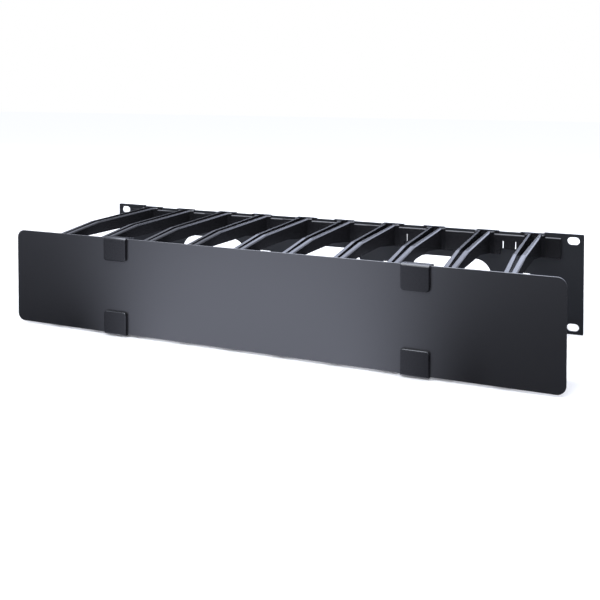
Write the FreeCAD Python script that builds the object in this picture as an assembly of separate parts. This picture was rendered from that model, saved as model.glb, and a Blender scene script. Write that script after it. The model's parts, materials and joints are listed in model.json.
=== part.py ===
import FreeCAD, Part
import math
import os

# Horizontal cable manager, two rack units high, for a 19-inch rack.
#
# A flat steel panel bolts to the rack posts. Ten mouldings, five along each long edge, clip to it and
# carry two trough-shaped fingers each. A flat cover hangs in front of the fingers on four moulded clips,
# whose jaws snap on short steel pins held between the tips of neighbouring fingers.
#
# Frame: X runs along the rack's width, Y to the rear and Z up. The origin is the middle of the four rack
# bolts, on the rear face of the panel, which is the face that meets the posts. Lengths are millimetres.

# Rack and panel
RACK_UNIT = 44.45
UNITS = 2
STACK_GAP = 0.8             # how much lower the panel is than its rack units
PANEL_W = 482.6
PANEL_T = 2.0
PANEL_CORNER_R = 1.0
EAR_W = 33.6                # full-height ear at each end; between the ears the long edges step in
EDGE_STEP = 1.75
BOLT_SPAN_X = 465.12
BOLT_SPAN_Z = 76.2
BOLT_SLOT_W = 10.2
BOLT_SLOT_H = 6.8

# Openings in the panel
CABLE_HOLE_W = 74.7
CABLE_HOLE_H = 31.4
CABLE_HOLE_COUNT = 3
CABLE_HOLE_PITCH = 124.5
TIE_SLOT_W = 12.0
TIE_SLOT_H = 12.6
TIE_SLOT_OFFSET = 65.3      # from the middle of the nearest cable hole, outwards

# Finger mouldings: base plate, hooks and latch
FINGER_PITCH = 44.45
PAIRS_PER_ROW = 5
PAIR_GAP = 0.2
BASE_T = 3.0
BASE_LOW = 22.2
BASE_TOP = 40.5
BASE_EDGE_R = 1.3
NOTCH_W = 16.0
NOTCH_DEPTH = 5.3
TONGUE_W = 9.9
SLIT_W = 1.1
SLIT_LENGTH = 6.8
WINDOW_W = 14.0
WINDOW_MARGIN = 0.4         # window edge beyond the slit's ends
BARB_DEPTH = 1.5
BARB_LAND = 0.7
BARB_SINK = 0.5             # how far the barb runs into the tongue
HOOK_INNER = 9.5            # from the middle of a pair to the hook's near end
HOOK_W = 20.0
HOOK_T = 1.0
HOOK_DROP = 6.3
HOOK_CLEARANCE = 0.1
HOOK_SEAT = 0.5             # depth of the panel's notch under each hook
HOOK_SIDE_GAP = 0.3

# Fingers
RAIL_Z = 42.5
KINK_Y = -100.5
GUSSET_END_Y = -55.0
GUSSET_END_Z = 30.4
TIP_UNDERSIDE_Z = 33.0
BEND_R = 15.0
FLOOR_T = 2.2
ROOT_HALF_W = 6.0
TIP_HALF_W = 5.2
FLARE = 3.0
RAIL_ROOT_W = 2.5           # the rails along the trough widen towards the tip
RAIL_TIP_W = 4.0
RAIL_EDGE = 0.9
TIP_WALL = 3.3              # solid stretch behind the pin's eye at the tip

# Hinge pins
PIN_D = 4.0
PIN_Y = -152.0
PIN_Z = 33.8
PIN_CLEARANCE = 0.05
PIN_END_GAP = 0.25
EYE_DEPTH = 6.5
EYE_WALL = 1.95
NOSE_EDGE = 1.4

# Cover
COVER_W = 482.6
COVER_H = 83.1
COVER_T = 1.3
COVER_CORNER_R = 7.0
COVER_FRONT_Y = -160.9

# Cover clips
CLIP_W = 22.5
CLIP_OVER = 0.75            # wall of the saddle over the cover's long edge
CLIP_PAD_H = 20.3
CLIP_PAD_T = 2.8
CLIP_PAD_R = 2.5
CLIP_EDGE = 0.5
CLIP_CREST_R = 2.2
JAW_ROOF = 4.85             # wall above the pin, up to the saddle's rear edge
CLIP_FIT = 0.05
LEG_START = 4.0             # from the pin's axis forward to where the jaw's leg turns up to the cover
JAW_WALL = 2.2
JAW_DEPTH = 2.6             # how far the jaw's mouth lies behind the pin's axis
JAW_LEG_SLOPE = 3.0

PANEL_H = UNITS * RACK_UNIT - STACK_GAP
STEP_H = PANEL_H - 2 * EDGE_STEP
BASE_FRONT = -PANEL_T - BASE_T
EYE_R = PIN_D / 2 + PIN_CLEARANCE
NOSE_R = EYE_R + EYE_WALL
NOTCH_Z = BASE_LOW + NOTCH_DEPTH
CLIP_REACH = COVER_H / 2 + CLIP_OVER
HOOK_MIDDLE = HOOK_INNER + HOOK_W / 2
FLAT = 1e-3                 # a box side shorter than this is taken as flat
PUNCH_OVER = 1.0            # how far a cutting tool passes the faces that it opens

# Each view gives the directions of an outline's first and second coordinate, and of its depth.
VIEWS = {
    "front": (FreeCAD.Vector(1, 0, 0), FreeCAD.Vector(0, 0, 1), FreeCAD.Vector(0, 1, 0)),
    "side": (FreeCAD.Vector(0, 1, 0), FreeCAD.Vector(0, 0, 1), FreeCAD.Vector(1, 0, 0)),
    "plan": (FreeCAD.Vector(1, 0, 0), FreeCAD.Vector(0, 1, 0), FreeCAD.Vector(0, 0, 1)),
}


def prism(view, corners, low, high):
    """Solid with an outline of (u, v, radius) corners in a view, from one depth to another."""
    first, second, depth = VIEWS[view]
    points = [first * u + second * v + depth * low for u, v, _ in corners]
    rounds = []
    for i, (_, _, radius) in enumerate(corners):
        corner = points[i]
        if radius == 0:
            rounds.append((corner, None, corner))
            continue
        back = (points[i - 1] - corner).normalize()
        ahead = (points[(i + 1) % len(points)] - corner).normalize()
        half = back.getAngle(ahead) / 2
        inward = (back + ahead).normalize()
        tangent = radius / math.tan(half)
        crown = corner + inward * (radius / math.sin(half) - radius)
        rounds.append((corner + back * tangent, crown, corner + ahead * tangent))
    edges = []
    for i, (start, crown, end) in enumerate(rounds):
        if crown is not None:
            edges.append(Part.Arc(start, crown, end).toShape())
        following = rounds[(i + 1) % len(rounds)][0]
        if (following - end).Length > 1e-6:
            edges.append(Part.LineSegment(end, following).toShape())
    return Part.Face(Part.Wire(edges)).extrude(depth * (high - low))


def rectangle(u, v, width, height, radius=0):
    """Corners of a rectangle about (u, v)."""
    half_w = width / 2
    half_h = height / 2
    return [(u - half_w, v - half_h, radius), (u + half_w, v - half_h, radius),
            (u + half_w, v + half_h, radius), (u - half_w, v + half_h, radius)]


def mirrored(half_outline):
    """Closed outline from its half with u above zero, listed from bottom to top."""
    return half_outline + [(-u, v, radius) for u, v, radius in reversed(half_outline)]


def fuse(solids):
    return solids[0].fuse(solids[1:]).removeSplitter()


def save(name, shape):
    shape.exportStep(os.path.join("parts", name + ".step"))
    print(name, "solids", len(shape.Solids), "valid", shape.isValid(), "volume", round(shape.Volume, 1))


def row_places(count, pitch):
    """Places of a centred row."""
    return [(i - (count - 1) / 2) * pitch for i in range(count)]


# Back panel

def panel_cuts():
    """Everything punched through the panel."""
    punch = []
    through = (-PANEL_T - PUNCH_OVER, PUNCH_OVER)
    for x in (-BOLT_SPAN_X / 2, BOLT_SPAN_X / 2):
        for z in (-BOLT_SPAN_Z / 2, BOLT_SPAN_Z / 2):
            punch.append(prism("front", rectangle(x, z, BOLT_SLOT_W, BOLT_SLOT_H, BOLT_SLOT_H / 2), *through))
    hole_places = row_places(CABLE_HOLE_COUNT, CABLE_HOLE_PITCH)
    for x in hole_places:
        punch.append(prism("front", rectangle(x, 0, CABLE_HOLE_W, CABLE_HOLE_H, CABLE_HOLE_H / 2), *through))
    for x in hole_places:
        for side in {-1, 1} if x == 0 else {math.copysign(1, x)}:
            place = x + side * TIE_SLOT_OFFSET
            punch.append(prism("front", rectangle(place, 0, TIE_SLOT_W, TIE_SLOT_H), *through))
    window_h = SLIT_LENGTH + 2 * WINDOW_MARGIN
    window_z = NOTCH_Z + SLIT_LENGTH / 2
    notch_w = HOOK_W + 2 * HOOK_SIDE_GAP
    for x in row_places(PAIRS_PER_ROW, 2 * FINGER_PITCH):
        for side in (-1, 1):
            punch.append(prism("front", rectangle(x, side * window_z, WINDOW_W, window_h), *through))
            edge = side * STEP_H / 2
            for hook_x in (x - HOOK_MIDDLE, x + HOOK_MIDDLE):
                punch.append(prism("front", rectangle(hook_x, edge, notch_w, 2 * HOOK_SEAT), *through))
    return punch


def back_panel():
    """Punched flat sheet with full-height ears and long edges that step in between them."""
    half_w = PANEL_W / 2
    inner = half_w - EAR_W
    outline = mirrored([
        (inner, -STEP_H / 2, 0),
        (inner, -PANEL_H / 2, 0),
        (half_w, -PANEL_H / 2, PANEL_CORNER_R),
        (half_w, PANEL_H / 2, PANEL_CORNER_R),
        (inner, PANEL_H / 2, 0),
        (inner, STEP_H / 2, 0),
    ])
    return prism("front", outline, -PANEL_T, 0).cut(panel_cuts())


# Finger mouldings, modelled for the top row with the middle of the pair at X = 0

def base_plate():
    """Plate against the panel, notched in the middle round a sprung latch tongue."""
    half_w = FINGER_PITCH - PAIR_GAP / 2
    outline = mirrored([
        (NOTCH_W / 2, NOTCH_Z, 0),
        (NOTCH_W / 2, BASE_LOW, 0),
        (half_w, BASE_LOW, 0),
        (half_w, BASE_TOP, 0),
    ])
    plate = prism("front", outline, BASE_FRONT, -PANEL_T)
    crest = [edge for edge in plate.Edges
             if edge.BoundBox.YMax < BASE_FRONT + FLAT and edge.BoundBox.ZMin > BASE_TOP - FLAT]
    plate = plate.makeFillet(BASE_EDGE_R, crest)
    slit_z = NOTCH_Z + SLIT_LENGTH / 2
    slits = [prism("front", rectangle(side * (TONGUE_W + SLIT_W) / 2, slit_z, SLIT_W, SLIT_LENGTH),
                   BASE_FRONT - PUNCH_OVER, -PANEL_T + PUNCH_OVER) for side in (-1, 1)]
    return plate.cut(slits)


def latch_barb():
    """Wedge behind the tongue that snaps under the top of the panel's window."""
    top = NOTCH_Z + SLIT_LENGTH
    outline = [
        (-PANEL_T - BARB_SINK, NOTCH_Z, 0),
        (-PANEL_T, NOTCH_Z, 0),
        (-PANEL_T + BARB_DEPTH, top - BARB_LAND, 0),
        (-PANEL_T + BARB_DEPTH, top, 0),
        (-PANEL_T - BARB_SINK, top, 0),
    ]
    return prism("side", outline, -TONGUE_W / 2, TONGUE_W / 2)


def edge_hook(middle_x):
    """Hook that rises from the base plate, passes over the panel's edge and turns down behind it."""
    seat = STEP_H / 2 - HOOK_SEAT + HOOK_CLEARANCE
    root = BASE_TOP - HOOK_T
    crown = seat + HOOK_T
    outline = [
        (-PANEL_T - HOOK_T, root, 0),
        (-PANEL_T - HOOK_T, crown, 0),
        (HOOK_CLEARANCE + HOOK_T, crown, 0),
        (HOOK_CLEARANCE + HOOK_T, crown - HOOK_DROP, 0),
        (HOOK_CLEARANCE, crown - HOOK_DROP, 0),
        (HOOK_CLEARANCE, seat, 0),
        (-PANEL_T, seat, 0),
        (-PANEL_T, root, 0),
    ]
    return prism("side", outline, middle_x - HOOK_W / 2, middle_x + HOOK_W / 2)


def rail_crest():
    """Side view of the rails' top, from the panel to the tip."""
    return [
        (-PANEL_T, RAIL_Z, 0),
        (KINK_Y, RAIL_Z, BEND_R),
        (PIN_Y, PIN_Z + NOSE_R, 0),
    ]


def nose():
    """Side view of the lug round the pin's eye, from its top to the underside."""
    front = PIN_Y - NOSE_R
    low = PIN_Z - NOSE_R
    return [
        (front + NOSE_EDGE, PIN_Z + NOSE_R, 0),
        (front, PIN_Z + NOSE_R - NOSE_EDGE, 0),
        (front, low + NOSE_EDGE, 0),
        (front + NOSE_EDGE, low, 0),
        (PIN_Y + NOSE_R, low, 0),
    ]


def underside(tip_y, root_y, lift):
    """Side view of the underside, raised by a lift, from the tip to the root."""
    return [
        (tip_y, TIP_UNDERSIDE_Z + lift, 0),
        (GUSSET_END_Y, GUSSET_END_Z + lift, BEND_R),
        (root_y, BASE_LOW + lift, 0),
    ]


def strip(side_outline, plan_outline):
    """What lies inside both a side view and a plan."""
    widest = max(u for u, _, _ in plan_outline)
    return prism("side", side_outline, -widest, widest).common(prism("plan", plan_outline, BASE_LOW, RAIL_Z))


def edged(body):
    """Finger body with the long outer edges of its top broken, flares included."""
    crests = []
    for face in body.Faces:
        low_u, high_u, low_v, high_v = face.ParameterRange
        if face.normalAt((low_u + high_u) / 2, (low_v + high_v) / 2).z > 0.9:
            crests += [edge for edge in face.Edges
                       if edge.BoundBox.YLength > FLAT and abs(edge.CenterOfMass.x) < ROOT_HALF_W + FLARE - FLAT]
    return body.makeChamfer(RAIL_EDGE, crests)


def finger(outward):
    """Trough with a flared root and a lug at the tip, whose pin eye opens outward (-1 or 1)."""
    wing = ROOT_HALF_W + FLARE
    plan = mirrored([
        (TIP_HALF_W, PIN_Y - NOSE_R, 0),
        (ROOT_HALF_W, BASE_FRONT - FLARE, 0),
        (wing, BASE_FRONT, 0),
        (wing, -PANEL_T, 0),
    ])
    body = edged(strip(rail_crest() + nose() + underside(PIN_Y + NOSE_R, -PANEL_T, 0), plan))

    trough_tip = PIN_Y + EYE_R + TIP_WALL
    trough_side = underside(trough_tip, BASE_FRONT, FLOOR_T) + [
        (BASE_FRONT, BASE_TOP, 0),
        (-PANEL_T, BASE_TOP, 0),
        (-PANEL_T, RAIL_Z, 0),
        (trough_tip, RAIL_Z, 0),
    ]
    trough = strip(trough_side, mirrored([
        (TIP_HALF_W - RAIL_TIP_W, trough_tip, 0),
        (ROOT_HALF_W - RAIL_ROOT_W, BASE_FRONT, 0),
        (ROOT_HALF_W - RAIL_ROOT_W, -PANEL_T, 0),
    ]))
    eye = Part.makeCylinder(EYE_R, wing, FreeCAD.Vector(outward * (TIP_HALF_W - EYE_DEPTH), PIN_Y, PIN_Z),
                            FreeCAD.Vector(outward, 0, 0))
    return body.cut([trough, eye])


def finger_pair():
    """One moulding: base plate, two fingers, two hooks and a latch."""
    solids = [base_plate(), latch_barb()]
    for side in (-1, 1):
        solids.append(edge_hook(side * HOOK_MIDDLE))
        solids.append(finger(side).translate(FreeCAD.Vector(side * FINGER_PITCH / 2, 0, 0)))
    return fuse(solids)


# Cover and clips

def cover_plate():
    """Flat sheet with round corners."""
    return prism("front", rectangle(0, 0, COVER_W, COVER_H, COVER_CORNER_R), COVER_FRONT_Y, COVER_FRONT_Y + COVER_T)


def clip():
    """Top clip about X = 0: a pad on the cover, a saddle over its edge and a jaw round the hinge pin."""
    pad_front = COVER_FRONT_Y - CLIP_PAD_T
    pad_low = CLIP_REACH - CLIP_PAD_H
    slot_front = COVER_FRONT_Y - CLIP_FIT
    slot_rear = COVER_FRONT_Y + COVER_T + CLIP_FIT
    slot_top = COVER_H / 2 + CLIP_FIT
    jaw_low = PIN_Z - EYE_R - JAW_WALL
    jaw_end = PIN_Y + JAW_DEPTH
    outline = [
        (pad_front, pad_low, 0),
        (pad_front, CLIP_REACH, CLIP_CREST_R),
        (slot_rear, CLIP_REACH, 0),
        (jaw_end, PIN_Z + EYE_R + JAW_ROOF, 0),
        (jaw_end, PIN_Z + EYE_R, 0),
        (PIN_Y - EYE_R, PIN_Z + EYE_R, EYE_R),
        (PIN_Y - EYE_R, PIN_Z - EYE_R, EYE_R),
        (jaw_end, PIN_Z - EYE_R, 0),
        (jaw_end, jaw_low, 0),
        (PIN_Y - LEG_START, jaw_low, 0),
        (slot_rear, jaw_low + JAW_LEG_SLOPE, 0),
        (slot_rear, slot_top, 0),
        (slot_front, slot_top, 0),
        (slot_front, pad_low, 0),
    ]
    front = mirrored([
        (CLIP_W / 2, pad_low, CLIP_PAD_R),
        (CLIP_W / 2, CLIP_REACH, 0),
    ])
    solid = prism("side", outline, -CLIP_W / 2, CLIP_W / 2).common(prism("front", front, pad_front, jaw_end))
    rim = [edge for edge in solid.Edges
           if edge.BoundBox.YMax < pad_front + FLAT and edge.BoundBox.ZMin < CLIP_REACH - CLIP_CREST_R - FLAT]
    return solid.makeChamfer(CLIP_EDGE, rim)


def hinge_pin():
    """Plain rod whose ends lie in the eyes of two neighbouring finger tips."""
    length = FINGER_PITCH - 2 * TIP_HALF_W + 2 * (EYE_DEPTH - PIN_END_GAP)
    return Part.makeCylinder(PIN_D / 2, length, FreeCAD.Vector(-length / 2, PIN_Y, PIN_Z),
                             FreeCAD.Vector(1, 0, 0))


def upside_down(shape):
    """Copy turned half a turn about the Y axis, for the bottom row."""
    turned = shape.copy()
    turned.rotate(FreeCAD.Vector(0, 0, 0), FreeCAD.Vector(0, 1, 0), 180)
    return turned


def placed(shape, x):
    return shape.copy().translate(FreeCAD.Vector(x, 0, 0))


os.makedirs("parts", exist_ok=True)
save("back_panel", back_panel())
save("cover_plate", cover_plate())

pair = finger_pair()
for number, x in enumerate(row_places(PAIRS_PER_ROW, 2 * FINGER_PITCH), start=1):
    save("finger_pair_top_%d" % number, placed(pair, x))
    save("finger_pair_bottom_%d" % number, placed(upside_down(pair), x))

cover_clip = clip()
pin = hinge_pin()
hinge_x = (PAIRS_PER_ROW - 2) * FINGER_PITCH
for side, x in (("left", -hinge_x), ("right", hinge_x)):
    save("clip_top_" + side, placed(cover_clip, x))
    save("clip_bottom_" + side, placed(upside_down(cover_clip), x))
    save("hinge_pin_top_" + side, placed(pin, x))
    save("hinge_pin_bottom_" + side, placed(upside_down(pin), x))
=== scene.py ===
# %% [markdown]
# A horizontal cable manager bolts across the front of a server rack, between two machines. Cables run along
# it between two rows of plastic fingers and leave through the gaps, and a flat cover hides them.
#
# Every solid is already in its place, in metres, with X along the rack, Y to the rear and Z up. This
# notebook gives the solids the edges and finishes of the real pieces, and then sets a plain white studio
# round them.

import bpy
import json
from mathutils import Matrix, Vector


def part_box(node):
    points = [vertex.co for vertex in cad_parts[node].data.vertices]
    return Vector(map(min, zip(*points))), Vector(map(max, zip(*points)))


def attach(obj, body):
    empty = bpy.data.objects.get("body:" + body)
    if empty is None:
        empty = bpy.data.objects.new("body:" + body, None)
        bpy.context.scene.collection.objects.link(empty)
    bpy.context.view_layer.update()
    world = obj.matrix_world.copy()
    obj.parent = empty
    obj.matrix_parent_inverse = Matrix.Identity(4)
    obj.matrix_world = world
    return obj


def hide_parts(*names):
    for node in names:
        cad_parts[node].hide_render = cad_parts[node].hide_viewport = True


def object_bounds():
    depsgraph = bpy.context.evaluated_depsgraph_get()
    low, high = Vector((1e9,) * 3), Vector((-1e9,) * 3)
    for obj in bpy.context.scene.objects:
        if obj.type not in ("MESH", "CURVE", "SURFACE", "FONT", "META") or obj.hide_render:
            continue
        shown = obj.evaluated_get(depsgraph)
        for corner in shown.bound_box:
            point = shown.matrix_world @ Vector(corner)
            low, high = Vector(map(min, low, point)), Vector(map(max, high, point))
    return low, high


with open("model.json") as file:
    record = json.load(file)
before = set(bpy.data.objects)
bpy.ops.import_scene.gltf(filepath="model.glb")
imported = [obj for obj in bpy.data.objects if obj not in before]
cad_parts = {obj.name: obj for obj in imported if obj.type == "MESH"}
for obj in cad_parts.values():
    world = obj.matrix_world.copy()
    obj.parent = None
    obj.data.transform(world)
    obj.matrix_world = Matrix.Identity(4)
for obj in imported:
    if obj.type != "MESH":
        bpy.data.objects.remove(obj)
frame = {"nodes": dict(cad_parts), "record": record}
CAD_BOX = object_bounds()
nodes = frame["nodes"]

# %% Libraries and units
import json
import math

import bmesh
import bpy
from mathutils import Euler, Vector

MM = 0.001
print("size in mm:", [round(side / MM, 1) for side in Vector(CAD_BOX[1]) - Vector(CAD_BOX[0])])

# %% [markdown]
# Colours are written as sRGB hex values, as on a paint card, because those are easy to read and compare.
# Blender's shaders work in linear light, so one function turns a hex value into linear red, green and blue.

# %% Colours
def linear(code):
    """Linear RGBA from an sRGB hex value such as 1A1B1D."""
    channels = [int(code[i:i + 2], 16) / 255 for i in (0, 2, 4)]
    return [c / 12.92 if c <= 0.04045 else ((c + 0.055) / 1.055) ** 2.4 for c in channels] + [1.0]


print("half-way grey 808080 in linear light:", round(linear("808080")[0], 3))

# %% [markdown]
# A material and a Geometry Nodes tree are both nodes with links between them. One small function adds a node
# of any kind and fills its inputs: a plain value is set on the socket, and another node's output is linked
# to it. A recipe of several nodes then reads from top to bottom in a few lines.

# %% Nodes
def add(tree, kind, inputs=None, **settings):
    """Adds a node. A value in inputs is set on the socket, and another node's socket is linked to it."""
    node = tree.nodes.new(kind)
    for name, value in settings.items():
        setattr(node, name, value)
    for key, value in (inputs or {}).items():
        if isinstance(value, bpy.types.NodeSocket):
            tree.links.new(value, node.inputs[key])
        else:
            node.inputs[key].default_value = value
    return node


def new_material(name):
    """Empty material and its node tree."""
    material = bpy.data.materials.new(name)
    material.use_nodes = True
    material.node_tree.nodes.clear()
    print("material:", name)
    return material, material.node_tree


# %% [markdown]
# The panel and the cover are sheet steel with a black powder coat. The powder melts in the oven and flows
# out, but not quite flat: it leaves a shallow orange peel about a millimetre across. That ripple, more than
# the colour, tells the eye that the black is paint. An image texture of real paint would give it too, but it
# would repeat and need unwrapping, so two noise textures on object coordinates make it at its real size.
# One tilts the surface a little, and a much broader one lets the gloss drift, as a sprayed coat does.
#
# The coat's IOR stays at the shader's default of 1.5, which is typical of such paints. The specular level is
# 0.5 on a plain smooth coat. It is lower on the panel, whose finish is the duller one, and higher on the
# glossier cover. Both levels were matched to the real pieces.

# %% Powder-coated steel
PEEL_MM, PEEL_DEPTH_MM, PEEL_STRENGTH = 0.9, 0.05, 0.12
DRIFT_MM, DRIFT_IN_GLOSS = 60, 0.02


def powder_coated_steel(name, colour, roughness, specular):
    """Black powder coat with orange peel."""
    material, tree = new_material(name)
    place = add(tree, "ShaderNodeTexCoord").outputs["Object"]
    peel = add(tree, "ShaderNodeTexNoise", {"Vector": place, "Scale": 1 / (PEEL_MM * MM), "Detail": 2.0,
                                            "Roughness": 0.45})
    drift = add(tree, "ShaderNodeTexNoise", {"Vector": place, "Scale": 1 / (DRIFT_MM * MM), "Detail": 1.0})
    gloss = add(tree, "ShaderNodeMapRange", {"Value": drift.outputs["Fac"],
                                             "To Min": roughness - DRIFT_IN_GLOSS,
                                             "To Max": roughness + DRIFT_IN_GLOSS})
    bump = add(tree, "ShaderNodeBump", {"Height": peel.outputs["Fac"], "Strength": PEEL_STRENGTH,
                                        "Distance": PEEL_DEPTH_MM * MM})
    shader = add(tree, "ShaderNodeBsdfPrincipled", {
        "Base Color": linear(colour), "Roughness": gloss.outputs["Result"], "Normal": bump.outputs["Normal"],
        "Specular IOR Level": specular})
    add(tree, "ShaderNodeOutputMaterial", {"Surface": shader.outputs["BSDF"]})
    return material


panel_paint = powder_coated_steel("powder_coated_steel_panel", "17181B", roughness=0.40, specular=0.35)
cover_paint = powder_coated_steel("powder_coated_steel_cover", "121215", roughness=0.34, specular=1.0)

# %% [markdown]
# The fingers and clips are taken to be black ABS, injection-moulded in a tool with a fine spark-eroded
# surface. Such a grain is about a tenth of a millimetre and too fine to show, so it is drawn at 0.4 mm. It
# breaks the highlights a little and leaves the black deep.
#
# ABS has an IOR of about 1.54, near the default. Its matt surface scatters part of the reflection, which a
# specular level below 0.5 stands for.

# %% Moulded ABS
GRAIN_MM, GRAIN_DEPTH_MM, GRAIN_STRENGTH = 0.4, 0.03, 0.15
GRAIN_IN_GLOSS = 0.05


def moulded_abs(name, colour, roughness, specular):
    """Black ABS with a fine moulded grain."""
    material, tree = new_material(name)
    place = add(tree, "ShaderNodeTexCoord").outputs["Object"]
    grain = add(tree, "ShaderNodeTexNoise", {"Vector": place, "Scale": 1 / (GRAIN_MM * MM), "Detail": 3.0,
                                             "Roughness": 0.6})
    gloss = add(tree, "ShaderNodeMapRange", {"Value": grain.outputs["Fac"],
                                             "To Min": roughness - GRAIN_IN_GLOSS,
                                             "To Max": roughness + GRAIN_IN_GLOSS})
    bump = add(tree, "ShaderNodeBump", {"Height": grain.outputs["Fac"], "Strength": GRAIN_STRENGTH,
                                        "Distance": GRAIN_DEPTH_MM * MM})
    shader = add(tree, "ShaderNodeBsdfPrincipled", {
        "Base Color": linear(colour), "Roughness": gloss.outputs["Result"], "Normal": bump.outputs["Normal"],
        "Specular IOR Level": specular})
    add(tree, "ShaderNodeOutputMaterial", {"Surface": shader.outputs["BSDF"]})
    return material


finger_abs = moulded_abs("moulded_abs_fingers", "121214", roughness=0.24, specular=0.33)
clip_abs = moulded_abs("moulded_abs_clips", "131316", roughness=0.28, specular=0.45)

# %% [markdown]
# The hinge pins are drawn steel rod. Drawing pulls the rod through a die, which leaves fine lines along it,
# so its highlight is streaked lengthwise. The pins lie along X, and a noise texture stretched fifty times
# along X gives such lines. Real ones are a few hundredths of a millimetre wide, and these are 0.3 mm so that
# they show. The pins' shape is already right as the CAD makes it, so they only take the new material.

# %% Drawn steel pins
LINE_MM, LINE_STRETCH = 0.3, 50
SMOOTHEST, ROUGHEST = 0.22, 0.38

pin_steel, tree = new_material("drawn_steel_pins")
place = add(tree, "ShaderNodeTexCoord").outputs["Object"]
along = add(tree, "ShaderNodeMapping", {"Vector": place, "Scale": (1 / LINE_STRETCH, 1.0, 1.0)})
lines = add(tree, "ShaderNodeTexNoise", {"Vector": along.outputs["Vector"], "Scale": 1 / (LINE_MM * MM)})
gloss = add(tree, "ShaderNodeMapRange", {"Value": lines.outputs["Fac"], "To Min": SMOOTHEST,
                                         "To Max": ROUGHEST})
shader = add(tree, "ShaderNodeBsdfPrincipled", {
    "Base Color": linear("B9BBBE"), "Metallic": 1.0, "Roughness": gloss.outputs["Result"]})
add(tree, "ShaderNodeOutputMaterial", {"Surface": shader.outputs["BSDF"]})

pins = [name for name in nodes if name.startswith("hinge_pin")]
for name in pins:
    nodes[name].data.materials.clear()
    nodes[name].data.materials.append(pin_steel)
print("pins given steel:", len(pins))

# %% [markdown]
# A CAD solid has perfectly sharp edges, and no real piece does: paint pulls back from an edge, and a mould
# leaves a small radius. Those tiny rounds catch the light and draw the outline of every piece. A shader
# can fake them with its Bevel node, but then they are missing from the mesh. So each solid is copied, its
# loose triangles are merged back into whole faces, and a Bevel modifier rounds the edges that are left.

# %% Edge softening
MERGE_MM = 0.001            # corners nearer than this become one
FLAT_DEGREES = 0.5          # faces that meet at less than this become one
SHARP_DEGREES = 30          # edges that bend by more than this are rounded
EDGE_STEPS = 3


def applied(piece):
    """Turns a piece's modifiers into plain mesh."""
    bpy.context.view_layer.update()
    result = bpy.data.meshes.new_from_object(piece.evaluated_get(bpy.context.evaluated_depsgraph_get()))
    piece.modifiers.clear()
    piece.data = result
    print(piece.name, "faces:", len(result.polygons))
    return piece


def dressed(name, source, edge_mm, material):
    """Copy of a CAD solid with whole faces and rounded edges."""
    mesh = bpy.data.meshes.new(name)
    faces = bmesh.new()
    faces.from_mesh(source.data)
    bmesh.ops.remove_doubles(faces, verts=faces.verts, dist=MERGE_MM * MM)
    bmesh.ops.dissolve_limit(faces, angle_limit=math.radians(FLAT_DEGREES), verts=faces.verts,
                             edges=faces.edges)
    faces.to_mesh(mesh)
    faces.free()
    piece = bpy.data.objects.new(name, mesh)
    bpy.context.scene.collection.objects.link(piece)
    bevel = piece.modifiers.new("soft edges", "BEVEL")
    bevel.width = edge_mm * MM
    bevel.segments = EDGE_STEPS
    bevel.limit_method = "ANGLE"
    bevel.angle_limit = math.radians(SHARP_DEGREES)
    bevel.harden_normals = True
    applied(piece)
    piece.data.materials.clear()
    piece.data.materials.append(material)
    return piece


# %% [markdown]
# The back panel carries everything and bolts to the rack. Both it and the cover are punched from flat sheet.
# The coat rounds a punched edge by a few tenths of a millimetre, which is the size of the bevel here. The
# dressed copy replaces the solid and rides on the same body.

# %% Sheet metal
PANEL_EDGE_MM, COVER_EDGE_MM = 0.25, 0.2

body_of = {node: body for body, members in frame["record"]["behaviour"]["bodies"].items() for node in members}
for node, edge_mm, paint, slot in (("back_panel", PANEL_EDGE_MM, panel_paint, "panel_steel"),
                                   ("cover_plate", COVER_EDGE_MM, cover_paint, "cover_steel")):
    piece = dressed(node + "_painted", nodes[node], edge_mm, paint)
    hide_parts(node)
    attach(piece, body_of[node])

# %% [markdown]
# Moulded clips grip the cover's long edges and snap on the hinge pins behind it. Each has a pad in front,
# whose rim shows as a thin light line, so its edges get a slightly larger round than those of the sheets.

# %% Clips
CLIP_EDGE_MM = 0.35

clips = [name for name in nodes if name.startswith("clip")]
for node in clips:
    piece = dressed(node + "_moulded", nodes[node], CLIP_EDGE_MM, clip_abs)
    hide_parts(node)
    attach(piece, body_of[node])
print("clips dressed:", len(clips))

# %% [markdown]
# The finger mouldings stand in two rows, and all of them come from one tool: a base plate with two
# trough-shaped fingers. Dressing every one would repeat the same work. So only the middle one of the top row
# is dressed, and Geometry Nodes set copies of it along both rows. How many there are, and how far apart they
# stand, is measured on the CAD nodes.

# %% One dressed moulding
MOULDING_EDGE_MM = 0.4


def middle(node):
    """Middle of a node's box."""
    low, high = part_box(node)
    return (Vector(low) + Vector(high)) / 2


per_row = sum(name.startswith("finger_pair_top") for name in nodes)
row_pitch = middle("finger_pair_top_2").x - middle("finger_pair_top_1").x
central = "finger_pair_top_%d" % ((per_row + 1) // 2)
moulding = dressed("moulding_pattern", nodes[central], MOULDING_EDGE_MM, finger_abs)
print("mouldings in a row:", per_row, "pitch in mm:", round(row_pitch / MM, 2))

# %% [markdown]
# The tree's sizes are named inputs, so they can be changed in the modifier without opening the tree. The
# moulding itself is an input too, and enters the tree through an Object Info node.

# %% The tree's inputs
PIP_R = 1.3 * MM
PIP_OFFSET, PIP_Y, PIP_Z = 7.2 * MM, -6.8 * MM, 41.4 * MM

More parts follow.
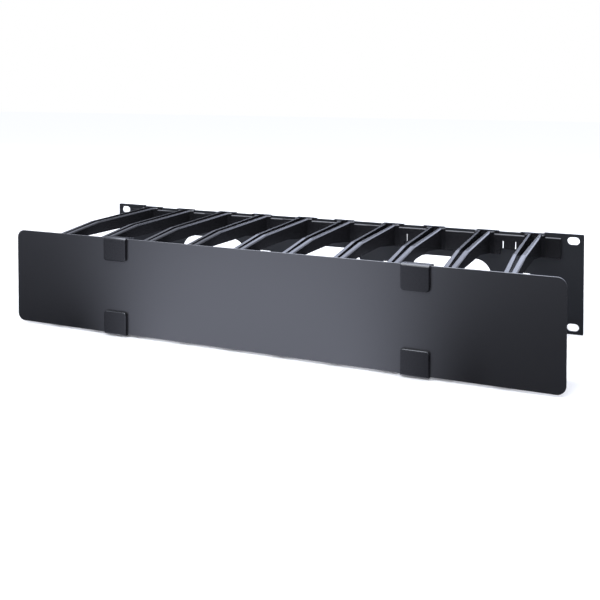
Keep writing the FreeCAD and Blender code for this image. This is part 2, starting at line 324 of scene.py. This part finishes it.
sizes = {
    "Moulding": ("NodeSocketObject", moulding),
    "Per row": ("NodeSocketInt", per_row),
    "Pitch": ("NodeSocketFloat", row_pitch),
    "Pip radius": ("NodeSocketFloat", PIP_R),
    "Pip offset": ("NodeSocketFloat", PIP_OFFSET),
    "Pip Y": ("NodeSocketFloat", PIP_Y),
    "Pip Z": ("NodeSocketFloat", PIP_Z),
    "Finish": ("NodeSocketMaterial", finger_abs),
}
tree = bpy.data.node_groups.new("rows of mouldings", "GeometryNodeTree")
for name, (kind, _) in sizes.items():
    tree.interface.new_socket(name=name, in_out="INPUT", socket_type=kind)
tree.interface.new_socket(name="Geometry", in_out="OUTPUT", socket_type="NodeSocketGeometry")
given = add(tree, "NodeGroupInput").outputs
shape = add(tree, "GeometryNodeJoinGeometry")
carved = add(tree, "GeometryNodeObjectInfo", {"Object": given["Moulding"]})
tree.links.new(carved.outputs["Geometry"], shape.inputs["Geometry"])
print("tree inputs:", list(sizes))

# %% [markdown]
# Each finger's root flares into the base plate, and a small round pip sits at each top outer corner of the
# flare. Such marks are often left by a mould's ejector pins, and they show as bright dots. A finger stands a
# quarter of the pitch from the moulding's middle. So on each side of the roots, a line of two points that
# are half a pitch apart gives both fingers their pip. A ball of few faces is enough for something so small.

# %% Pips beside the roots
ball = add(tree, "GeometryNodeMeshUVSphere", {"Segments": 12, "Rings": 8, "Radius": given["Pip radius"]})
pip = add(tree, "GeometryNodeSetShadeSmooth", {"Geometry": ball.outputs["Mesh"]})
half_pitch = add(tree, "ShaderNodeMath", {0: given["Pitch"], 1: 0.5}, operation="MULTIPLY")
apart = add(tree, "ShaderNodeCombineXYZ", {"X": half_pitch.outputs[0]})
for side in (-1, 1):
    aside = add(tree, "ShaderNodeMath", {0: given["Pip offset"], 1: side}, operation="MULTIPLY")
    first = add(tree, "ShaderNodeMath", {0: given["Pitch"], 1: -0.25, 2: aside.outputs[0]},
                operation="MULTIPLY_ADD")
    start = add(tree, "ShaderNodeCombineXYZ", {"X": first.outputs[0], "Y": given["Pip Y"],
                                               "Z": given["Pip Z"]})
    pair = add(tree, "GeometryNodeMeshLine", {"Count": 2, "Start Location": start.outputs[0],
                                              "Offset": apart.outputs[0]})
    pips = add(tree, "GeometryNodeInstanceOnPoints", {"Points": pair.outputs["Mesh"],
                                                      "Instance": pip.outputs["Geometry"]})
    tree.links.new(pips.outputs["Instances"], shape.inputs["Geometry"])
print("pip diameter in mm:", round(2 * PIP_R / MM, 2))

# %% [markdown]
# The row is a Mesh Line centred on the panel: it starts half its own length to the left. The same points
# serve both rows. The bottom mouldings are the top ones turned half a turn about the Y axis, not mirrored,
# because a real moulding can be turned over but not made left-handed.

# %% Two rows
last = add(tree, "ShaderNodeMath", {0: given["Per row"], 1: 1.0}, operation="SUBTRACT")
length = add(tree, "ShaderNodeMath", {0: last.outputs[0], 1: given["Pitch"]}, operation="MULTIPLY")
left_end = add(tree, "ShaderNodeMath", {0: length.outputs[0], 1: -0.5}, operation="MULTIPLY")
start = add(tree, "ShaderNodeCombineXYZ", {"X": left_end.outputs[0]})
step = add(tree, "ShaderNodeCombineXYZ", {"X": given["Pitch"]})
places = add(tree, "GeometryNodeMeshLine", {"Count": given["Per row"], "Start Location": start.outputs[0],
                                            "Offset": step.outputs[0]})
rows = add(tree, "GeometryNodeJoinGeometry")
for turn in (0.0, math.pi):
    row = add(tree, "GeometryNodeInstanceOnPoints", {
        "Points": places.outputs["Mesh"], "Instance": shape.outputs["Geometry"], "Rotation": (0.0, turn, 0.0)})
    tree.links.new(row.outputs["Instances"], rows.inputs["Geometry"])
real = add(tree, "GeometryNodeRealizeInstances", {"Geometry": rows.outputs["Geometry"]})
coated = add(tree, "GeometryNodeSetMaterial", {"Geometry": real.outputs["Geometry"],
                                               "Material": given["Finish"]})
add(tree, "NodeGroupOutput", {"Geometry": coated.outputs["Geometry"]})
print("nodes in the tree:", len(tree.nodes))

# %% [markdown]
# An object with an empty mesh carries the tree as a modifier. Its inputs are set by their identifiers, and
# the result is turned into plain mesh. All the mouldings sit on the same body, so they make one piece, and
# the pattern that they were copied from is removed.

# %% Run the tree
fingers = bpy.data.objects.new("finger_mouldings", bpy.data.meshes.new("finger_mouldings"))
bpy.context.scene.collection.objects.link(fingers)
repeat = fingers.modifiers.new("rows", "NODES")
repeat.node_group = tree
for item in tree.interface.items_tree:
    if item.in_out == "INPUT":
        repeat[item.identifier] = sizes[item.name][1]
applied(fingers)
bpy.data.objects.remove(moulding)
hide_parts(*[name for name in nodes if name.startswith("finger_pair")])
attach(fingers, body_of[central])

# %% [markdown]
# The camera stands to the right of the object and a little above it. Tilting it down would make the uprights
# lean together. A view camera avoids that by staying level and sliding its lens instead, and `shift_y` does
# the same here, with a tilt of under two degrees left over.

# %% Camera
CAMERA_AT = (0.29253, -0.76006, 0.17796)
CAMERA_TURN, CAMERA_TILT = 0.3987, -0.0293      # radians
SENSOR_MM, LENS_MM = 36.0, 49.84
LENS_SHIFT = -0.3243

lens = bpy.data.cameras.new("camera")
lens.sensor_width = SENSOR_MM
lens.lens = LENS_MM
lens.shift_y = LENS_SHIFT
camera = bpy.data.objects.new("camera", lens)
camera.location = CAMERA_AT
camera.rotation_euler = Euler((math.pi / 2 + CAMERA_TILT, 0, CAMERA_TURN))
bpy.context.scene.collection.objects.link(camera)
bpy.context.scene.camera = camera
bpy.context.scene.view_settings.view_transform = "Standard"
print("camera to the object's origin in m:", round(Vector(CAMERA_AT).length, 3))

# %% [markdown]
# The studio is a white floor under a white world. A real studio gets its white by pouring light on the
# paper, which would wash out the black as well. Here the Light Path node separates the two. The camera sees
# a white floor that takes the object's shadow. Light that bounces off the floor, and the cover that mirrors
# it, meet grey paper instead, because a white floor would turn the whole satin cover pale.

# %% Floor
floor_z = CAD_BOX[0][2]
FLOOR_REACH = 4.0
FLOOR_GLOW = 0.04

paper, tree = new_material("studio_floor")
path = add(tree, "ShaderNodeLightPath")
white = add(tree, "ShaderNodeBsdfDiffuse", {"Color": linear("FFFFFF")})
glow = add(tree, "ShaderNodeEmission", {"Color": linear("FFFFFF"), "Strength": FLOOR_GLOW})
seen = add(tree, "ShaderNodeAddShader", {0: white.outputs["BSDF"], 1: glow.outputs["Emission"]})
grey = add(tree, "ShaderNodeBsdfDiffuse", {"Color": linear("46474B")})
mixed = add(tree, "ShaderNodeMixShader", {"Fac": path.outputs["Is Camera Ray"], 1: grey.outputs["BSDF"],
                                          2: seen.outputs["Shader"]})
add(tree, "ShaderNodeOutputMaterial", {"Surface": mixed.outputs["Shader"]})


def flat(name, corners, material):
    """Flat face of the studio, which isn't part of the object."""
    mesh = bpy.data.meshes.new(name)
    mesh.from_pydata(corners, [], [tuple(range(len(corners)))])
    mesh.materials.append(material)
    sheet = bpy.data.objects.new(name, mesh)
    bpy.context.scene.collection.objects.link(sheet)
    print(name, "corners:", len(corners))
    return sheet


flat("floor", [(-FLOOR_REACH, -FLOOR_REACH, floor_z), (FLOOR_REACH, -FLOOR_REACH, floor_z),
               (FLOOR_REACH, FLOOR_REACH, floor_z), (-FLOOR_REACH, FLOOR_REACH, floor_z)], paper)

# %% [markdown]
# The world gives soft light from all round at a strength of 1, so that colours render about as they are
# written. It is a touch cool where it lights and is mirrored, as daylight is, and pure white where it is
# seen directly.

# %% World
world = bpy.data.worlds.new("studio")
bpy.context.scene.world = world
world.use_nodes = True
tree = world.node_tree
tree.nodes.clear()
path = add(tree, "ShaderNodeLightPath")
direct = add(tree, "ShaderNodeMath", {0: path.outputs["Is Camera Ray"], 1: path.outputs["Is Transmission Ray"]},
             operation="MAXIMUM")
fill = add(tree, "ShaderNodeBackground", {"Color": linear("F6F8FF"), "Strength": 1.0})
mirrored = add(tree, "ShaderNodeBackground", {"Color": linear("E6ECFF"), "Strength": 1.0})
backdrop = add(tree, "ShaderNodeBackground", {"Color": linear("FFFFFF"), "Strength": 1.0})
lighting = add(tree, "ShaderNodeMixShader", {"Fac": path.outputs["Is Glossy Ray"],
                                             1: fill.outputs["Background"], 2: mirrored.outputs["Background"]})
whole = add(tree, "ShaderNodeMixShader", {"Fac": direct.outputs[0], 1: lighting.outputs["Shader"],
                                          2: backdrop.outputs["Background"]})
add(tree, "ShaderNodeOutputWorld", {"Surface": whole.outputs["Shader"]})
print("world nodes:", len(tree.nodes))

# %% [markdown]
# Area lights play the studio's softboxes. Blender gives an area light its power in watts, which changes its
# brightness whenever its size changes. A softbox is easier to set by how bright its face looks, so this
# function takes that radiance and works out the power.

# %% Softboxes
def softbox(name, centre, target, width, height, radiance, tint):
    """Area light that faces a target. Lengths are metres, and radiance sets how bright its face looks."""
    lamp = bpy.data.lights.new(name, "AREA")
    lamp.shape = "RECTANGLE"
    lamp.size = width
    lamp.size_y = height
    lamp.energy = radiance * math.pi * width * height
    lamp.color = linear(tint)[:3]
    light = bpy.data.objects.new(name, lamp)
    light.location = centre
    light.rotation_euler = (Vector(target) - Vector(centre)).to_track_quat("-Z", "Y").to_euler()
    light.visible_camera = False
    bpy.context.scene.collection.objects.link(light)
    print(name, "power in W:", round(lamp.energy, 2))
    return light


# %% [markdown]
# A key light stands high in front and gives the object its shape. A large light straight overhead is only
# for reflections: it draws the rounded tops of the clips, and would flatten the rest if it lit them too.

# %% Key and overhead lights
softbox("front_key", (-0.1, -1.15, 0.9), (0, -0.05, 0), 1.0, 0.6, 8.0, "F4F7FF")
overhead = softbox("overhead", (0.0, -0.16, 0.9), (0, -0.16, 0), 1.4, 1.0, 11.0, "EEF3FF")
overhead.visible_diffuse = False

# %% [markdown]
# Two softboxes low behind the object glance off the sloping front ends of the fingers. That is what makes
# black plastic readable: dark things are drawn by what they reflect, more than by the light that falls on
# them.

# %% Rear lights
FINGERS_MIDDLE = (0, -0.08, 0)
softbox("rear_right", (0.32, 1.37, 0.50), FINGERS_MIDDLE, 0.7, 0.75, 2.2, "DDE5FF")
softbox("rear_left", (-0.35, 1.3, 0.66), FINGERS_MIDDLE, 0.85, 0.45, 2.1, "DDE5FF")

# %% [markdown]
# Two fills reach what the others don't. One lies between the two rows of fingers and lights the panel behind
# them, and the other lights the panel's back. Neither is mirrored in anything, because a lamp between the
# fingers would be seen there as a bright object.

# %% Fill lights
inner_fill = softbox("inner_fill", (0.0, -0.125, 0.0), (0, 0, 0), 0.44, 0.05, 11.0, "F4F7FF")
rear_fill = softbox("rear_fill", (0.0, 1.5, 0.35), (0, 0, 0), 1.6, 0.9, 6.0, "F4F7FF")
inner_fill.visible_glossy = False
rear_fill.visible_glossy = False

# %% [markdown]
# A flat satin sheet looks dull unless it mirrors something. In a studio, cards are laid round it for that,
# just out of view. These cards go further and are seen by nothing but reflections, so that they neither
# light the object nor cast a shadow. A card's corners are measured from its own origin.

# %% Cards that only reflect
def reflected_card(name, corners, origin, material):
    """Flat card that only mirror-like rays can see."""
    card = flat(name, corners, material)
    card.location = origin
    for kind in ("camera", "diffuse", "shadow", "transmission", "volume_scatter"):
        setattr(card, "visible_" + kind, False)


# %% [markdown]
# A glowing card lies on the floor before the cover and puts the broad pale sheen on it. For the sheen to
# have upright sides, the card's sides must run along the camera's lines of sight as the cover mirrors them.
# So the card is a slice of a fan, whose point lies on the floor below the camera's mirror image behind the
# cover. The card's origin is that point, from where a line of sight is simply a fixed slope of X over Y.

# %% Shape of the glowing card
SHEEN_LEFT, SHEEN_RIGHT, SHEEN_FADE = -0.128, 0.128, 0.055
CARD_LENGTH = 0.75

cover_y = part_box("cover_plate")[0].y
eye = Vector((CAMERA_AT[0], 2 * cover_y - CAMERA_AT[1], floor_z + 1 * MM))
depth = eye.y - cover_y
left, right = [(x - eye.x) / depth for x in (SHEEN_LEFT, SHEEN_RIGHT)]
fade = SHEEN_FADE / depth
near, far = depth, depth + CARD_LENGTH
fan = [((left - fade) * near, -near, 0), ((left - fade) * far, -far, 0),
       ((right + fade) * far, -far, 0), ((right + fade) * near, -near, 0)]
print("mirrored camera behind the cover in m:", round(depth, 3))

# %% [markdown]
# The card fades softly towards both sides, and grows brighter away from the cover. The cover's upper part
# mirrors the card's far end, where the soft gloss blends it with the darker floor beyond, and the rise makes
# up for that.

# %% Glow of the card
SHEEN_RADIANCE = 2.2
GRADE_NEAR, GRADE_FAR = 0.86, 1.35

sheen, tree = new_material("glowing_card")
place = add(tree, "ShaderNodeSeparateXYZ", {"Vector": add(tree, "ShaderNodeTexCoord").outputs["Object"]})
ahead = add(tree, "ShaderNodeMath", {0: place.outputs["Y"], 1: -1.0}, operation="MULTIPLY")
slope = add(tree, "ShaderNodeMath", {0: place.outputs["X"], 1: ahead.outputs[0]}, operation="DIVIDE")
rise = add(tree, "ShaderNodeMapRange", {"Value": slope.outputs[0], "From Min": left - fade,
                                        "From Max": left + fade}, interpolation_type="SMOOTHSTEP")
fall = add(tree, "ShaderNodeMapRange", {"Value": slope.outputs[0], "From Min": right + fade,
                                        "From Max": right - fade}, interpolation_type="SMOOTHSTEP")
level = add(tree, "ShaderNodeMath", {0: rise.outputs["Result"], 1: fall.outputs["Result"]},
            operation="MULTIPLY")
grade = add(tree, "ShaderNodeMapRange", {"Value": ahead.outputs[0], "From Min": near, "From Max": far,
                                         "To Min": SHEEN_RADIANCE * GRADE_NEAR,
                                         "To Max": SHEEN_RADIANCE * GRADE_FAR})
power = add(tree, "ShaderNodeMath", {0: level.outputs[0], 1: grade.outputs["Result"]}, operation="MULTIPLY")
light = add(tree, "ShaderNodeEmission", {"Color": linear("E6EBFF"), "Strength": power.outputs[0]})
add(tree, "ShaderNodeOutputMaterial", {"Surface": light.outputs["Emission"]})
reflected_card("glowing_card", fan, eye, sheen)

# %% [markdown]
# A faint card far to the left keeps the left end of the cover from going quite black.

# %% Side card
SIDE_CARD, SIDE_GLOW = 0.45, 0.3

faint, tree = new_material("side_card")
light = add(tree, "ShaderNodeEmission", {"Color": linear("E6EBFF"), "Strength": SIDE_GLOW})
add(tree, "ShaderNodeOutputMaterial", {"Surface": light.outputs["Emission"]})
reflected_card("side_card", [(0, 0, 0), (SIDE_CARD, 0, 0), (SIDE_CARD, SIDE_CARD, 0), (0, SIDE_CARD, 0)],
               (-0.90, -0.95, floor_z + MM), faint)

# %% [markdown]
# The flat tops of the fingers are seen at a shallow angle, so they mirror the horizon behind the object. A
# white world there would turn them pale. A black flag, which is what a studio calls a dark cloth on a stand,
# covers that horizon and keeps the tops dark. The rear lights shine over it and past its right-hand end.

# %% Black flag
FLAG_WIDTH, FLAG_HEIGHT = 1.6, 0.40
FLAG_X, FLAG_BEHIND = -0.6, 1.2

cloth, tree = new_material("black_flag")
dull = add(tree, "ShaderNodeBsdfDiffuse", {"Color": linear("101012")})
add(tree, "ShaderNodeOutputMaterial", {"Surface": dull.outputs["BSDF"]})
reflected_card("black_flag", [(-FLAG_WIDTH / 2, 0, 0), (FLAG_WIDTH / 2, 0, 0),
                              (FLAG_WIDTH / 2, 0, FLAG_HEIGHT), (-FLAG_WIDTH / 2, 0, FLAG_HEIGHT)],
               (FLAG_X, FLAG_BEHIND, floor_z), cloth)
